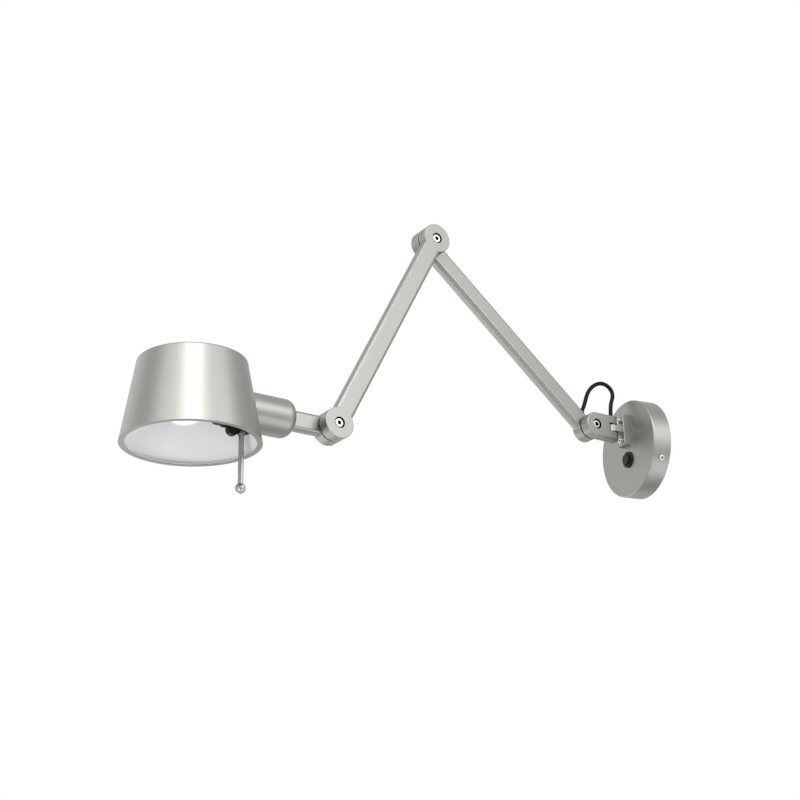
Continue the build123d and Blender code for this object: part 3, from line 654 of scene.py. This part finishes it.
# ---------------------------------------------------------------- operators
class LAMP_OT_stage(Operator):
    """Set up the camera, the pale floor and the soft studio light"""

    bl_idname = "lamp.stage"
    bl_label = "Studio"

    def execute(self, context):
        sizes = context.scene.stage_sizes
        self.aim_camera(context, sizes)
        self.lay_floor()
        self.hang_lights(context, sizes)
        self.fill_air(context, sizes)
        context.scene.view_settings.view_transform = "Standard"
        return {"FINISHED"}

    def aim_camera(self, context, sizes):
        """Point the camera along its heading, elevation and roll."""
        lens = bpy.data.cameras.new("Camera")
        lens.sensor_width = 36.0
        lens.lens = sizes.camera_lens
        lens.clip_end = 20.0
        camera = bpy.data.objects.new("Camera", lens)
        context.collection.objects.link(camera)
        turn, tilt, roll = sizes.camera_heading, sizes.camera_elevation, sizes.camera_roll
        ahead = Vector((-sin(turn) * cos(tilt), cos(turn) * cos(tilt), -sin(tilt)))
        right = Vector((cos(turn), sin(turn), 0))
        up = Vector((-sin(turn) * sin(tilt), cos(turn) * sin(tilt), cos(tilt)))
        right, up = right * cos(roll) + up * sin(roll), up * cos(roll) - right * sin(roll)
        facing = Matrix((right, up, -ahead)).transposed().to_4x4()
        camera.matrix_world = Matrix.Translation(sizes.camera_place) @ facing
        context.scene.camera = camera

    def lay_floor(self):
        """A wide pale floor well below the lamp."""
        shape = bmesh.new()
        bmesh.ops.create_grid(shape, x_segments=8, y_segments=8, size=4.0)
        floor = finished("floor", shape)
        floor.location = (0.4, -1.0, -1.3)
        finish = Finish("Pale floor", Roughness=0.9)
        finish.shader.inputs["Base Color"].default_value = (0.93, 0.93, 0.93, 1.0)
        floor.data.materials.append(finish.material)

    def hang_lights(self, context, sizes):
        """Soft lights around the lamp."""
        middle = Vector((0.06, -0.35, 0.0))
        for name, place, size, power in (
            ("key", (1.5, -0.92, 1.2), 1.0, sizes.key_power),
            ("left", (1.03, -1.82, 1.24), 1.4, sizes.left_power),
            ("top", (0.6, -0.8, 1.55), 2.2, sizes.top_power),
            ("fill", (1.52, 0.5, 0.72), 1.1, sizes.fill_power),
            ("low", (0.7, -1.5, -1.1), 0.9, sizes.low_power),
            ("under", (0.7, 0.35, -1.1), 1.2, sizes.under_power),
            ("far", (-1.5, -0.9, -0.7), 1.2, sizes.far_power),
            ("back", (-1.2, 0.5, -1.2), 1.2, sizes.back_power),
            ("across", (-1.2, -1.4, 0.7), 1.2, sizes.across_power),
            ("front", (0.75, -1.75, 0.45), 0.8, sizes.front_power),
            ("right", (1.6, 0.9, -0.1), 1.0, sizes.right_power),
        ):
            light = bpy.data.lights.new(name, "AREA")
            light.shape = "SQUARE"
            light.size = size
            light.energy = power
            lamp = bpy.data.objects.new(name, light)
            context.collection.objects.link(lamp)
            lamp.location = place
            lamp.rotation_euler = (middle - Vector(place)).to_track_quat("-Z", "Y").to_euler()

    def fill_air(self, context, sizes):
        """A surround that lights the lamp softly, and is pure white to the camera and in reflections."""
        world = bpy.data.worlds.new("Studio")
        world.use_nodes = True
        tree = world.node_tree
        tree.nodes.clear()
        air = tree.nodes.new("ShaderNodeBackground")
        air.inputs["Color"].default_value = WHITE
        air.inputs["Strength"].default_value = sizes.air_light
        white = tree.nodes.new("ShaderNodeBackground")
        white.inputs["Strength"].default_value = 1.0
        white.inputs["Color"].default_value = WHITE
        path = tree.nodes.new("ShaderNodeLightPath")
        either = tree.nodes.new("ShaderNodeMath")
        either.operation = "MAXIMUM"
        seen = tree.nodes.new("ShaderNodeMath")
        seen.operation = "MAXIMUM"
        tree.links.new(path.outputs["Is Camera Ray"], either.inputs[0])
        tree.links.new(path.outputs["Is Transmission Ray"], either.inputs[1])
        tree.links.new(either.outputs[0], seen.inputs[0])
        tree.links.new(path.outputs["Is Glossy Ray"], seen.inputs[1])
        mixed = tree.nodes.new("ShaderNodeMixShader")
        tree.links.new(seen.outputs[0], mixed.inputs[0])
        tree.links.new(air.outputs[0], mixed.inputs[1])
        tree.links.new(white.outputs[0], mixed.inputs[2])
        output = tree.nodes.new("ShaderNodeOutputWorld")
        tree.links.new(mixed.outputs[0], output.inputs["Surface"])
        context.scene.world = world


class LAMP_OT_wall_mount(Operator):
    """Finish the wall plate, the canopy and what is inside it"""

    bl_idname = "lamp.wall_mount"
    bl_label = "Wall plate and canopy"

    def execute(self, context):
        sizes = context.scene.lamp_sizes
        dress(satin_nickel(sizes), "canopy", "hinge_bracket", "hinge_pin")
        dress(bright_zinc(), "mounting_plate", "backing_plate", "earth_screw", "switch_nut")
        rim = []
        for angle in RIM_SCREW_ANGLES:
            rim.append((RIM_SCREW_CENTRE, Vector((cos(angle), 0, sin(angle)))))
        rim_heads = bright_heads("Rim screws", rim, SCREW_SOCKET_RADIUS, RIM_SCREW_TOP)
        dress(rim_heads, "canopy_screws")
        bracket = [(Vector((0, 0, height)), Vector((0, -1, 0))) for height in BRACKET_SCREW_HEIGHTS]
        bracket_heads = bright_heads("Bracket screws", bracket, SCREW_SOCKET_RADIUS, BRACKET_SCREW_TOP)
        dress(bracket_heads, "bracket_screws")
        dress(white_moulding(), "terminal_block")
        dress(plain_brass(), "terminal_screws")
        dress(black_moulding(sizes), "switch_body", "switch_button", "hinge_washers")
        return {"FINISHED"}


class LAMP_OT_arms(Operator):
    """Finish the knuckle, the arms and the stem"""

    bl_idname = "lamp.arms"
    bl_label = "Arms"

    def execute(self, context):
        sizes = context.scene.lamp_sizes
        knuckle = jointed_nickel(sizes, "Satin nickel of the knuckle", near=(SHOULDER_EYE,))
        dress(knuckle, "knuckle_block")
        rear = jointed_nickel(sizes, "Satin nickel of the rear arm", far=(SHOULDER_EYE, ELBOW_EYE))
        dress(rear, "rear_arm")
        front = jointed_nickel(sizes, "Satin nickel of the front arm", near=(ELBOW_EYE, WRIST_EYE))
        dress(front, "front_arm")
        stem = jointed_nickel(sizes, "Satin nickel of the stem", far=(WRIST_EYE,))
        dress(stem, "stem")
        dress(bright_zinc(), "stem_nut")
        return {"FINISHED"}


class LAMP_OT_pivots(Operator):
    """Finish the bolts, washers and nuts of the three friction joints"""

    bl_idname = "lamp.pivots"
    bl_label = "Pivot bolts"

    def execute(self, context):
        sizes = context.scene.lamp_sizes
        joints = ("shoulder", "elbow", "wrist")
        heads = [(joint, -ACROSS) for joint in (SHOULDER, ELBOW, WRIST)]
        bolts = bright_heads("Pivot bolts", heads, PIVOT_SOCKET_RADIUS, PIVOT_HEAD_TOP, PIVOT_HEAD_RADIUS)
        dress(bolts, *(f"{joint}_bolt" for joint in joints))
        dress(bright_zinc(), *(f"{joint}_nut" for joint in joints))
        dress(black_moulding(sizes), *(f"{joint}_washer" for joint in joints))
        return {"FINISHED"}


class LAMP_OT_cable(Operator):
    """Run the cable from the hinge pin up and over to the rear arm"""

    bl_idname = "lamp.cable"
    bl_label = "Cable loop"

    def execute(self, context):
        sizes = context.scene.lamp_sizes
        sheath = black_sheath(sizes)
        dress(sheath, "cable_bush", "arm_grommet")
        line = smooth_line([from_hinge(*point) for point in CABLE_ROUTE], "cable_route")
        cable = tube("cable", line, sizes.cable_diameter / 2, sizes.cable_sides)
        cable.data.materials.append(sheath)
        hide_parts("cable_loop")
        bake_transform(cable, "knuckle", "rear_link", start=line[0], end=line[-1])
        bend_by_rings(cable, line, sizes.cable_sides, CABLE_HELD)
        return {"FINISHED"}


class LAMP_OT_head(Operator):
    """Finish the neck, the shade and the lampholder"""

    bl_idname = "lamp.head"
    bl_label = "Shade and lampholder"

    def execute(self, context):
        sizes = context.scene.lamp_sizes
        dress(satin_nickel(sizes), "neck_cup", "handle_collar")
        dress(turned_nickel(sizes), "handle_rod", "handle_ball")
        dress(lined_nickel(sizes), "shade")
        dress(black_moulding(sizes), "shade_ring", "lampholder", "front_ring")
        dress(plain_brass(), "socket_shell", "centre_contact")
        return {"FINISHED"}


class LAMP_OT_bulb(Operator):
    """Finish the globe bulb and its cap"""

    bl_idname = "lamp.bulb"
    bl_label = "Bulb"

    def execute(self, context):
        sizes = context.scene.lamp_sizes
        dress(opal_glass(sizes), "bulb_globe")
        dress(nickel_cap(), "bulb_cap")
        return {"FINISHED"}


STEPS = (
    LAMP_OT_stage,
    LAMP_OT_wall_mount,
    LAMP_OT_arms,
    LAMP_OT_pivots,
    LAMP_OT_cable,
    LAMP_OT_head,
    LAMP_OT_bulb,
)


class LAMP_PT_sidebar(Panel):
    """The lamp's steps, sizes and colours"""

    bl_label = "Wall lamp"
    bl_idname = "LAMP_PT_sidebar"
    bl_space_type = "VIEW_3D"
    bl_region_type = "UI"
    bl_category = "Wall lamp"

    def draw(self, context):
        for step in STEPS:
            self.layout.operator(step.bl_idname)
        for group in (context.scene.lamp_sizes, context.scene.stage_sizes):
            for name in group.bl_rna.properties.keys():
                if name not in ("rna_type", "name"):
                    self.layout.prop(group, name)


CLASSES = (LampSizes, StageSizes, *STEPS, LAMP_PT_sidebar)


def register():
    for item in CLASSES:
        bpy.utils.register_class(item)
    bpy.types.Scene.lamp_sizes = PointerProperty(type=LampSizes)
    bpy.types.Scene.stage_sizes = PointerProperty(type=StageSizes)


def unregister():
    del bpy.types.Scene.stage_sizes
    del bpy.types.Scene.lamp_sizes
    for item in reversed(CLASSES):
        bpy.utils.unregister_class(item)


def main():
    register()
    for step in STEPS:
        group, name = step.bl_idname.split(".")
        getattr(getattr(bpy.ops, group), name)()


if __name__ == "__main__":
    main()
